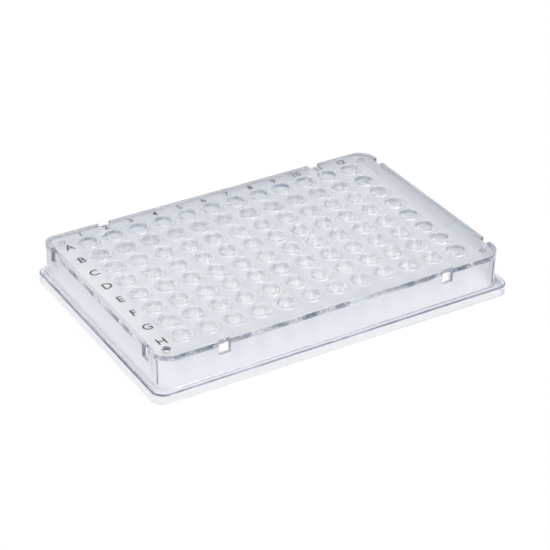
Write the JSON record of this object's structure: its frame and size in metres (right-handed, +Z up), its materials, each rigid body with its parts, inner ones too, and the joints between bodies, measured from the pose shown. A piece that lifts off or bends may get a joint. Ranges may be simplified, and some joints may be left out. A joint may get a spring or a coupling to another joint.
{
  "type": "well plate",
  "caption": "Clear moulded plate of conical wells in a rectangular grid, hung from a flat deck inside a full skirt with a wide base flange.",
  "frame": {"origin": "centre of the rectangular footprint, on the surface the plate stands on", "axes": "+X from the first well column to the last, along the long side; +Y from the last well row to the first; +Z up, out of the well mouths"},
  "size_m": [0.1278, 0.0854, 0.0149],
  "materials": {
    "clear_plastic": "clear and glossy, with a faint cool tint where light runs through its edges"
  },
  "bodies": {
    "root": {"well_plate": "clear_plastic"}
  },
  "joints": []
}
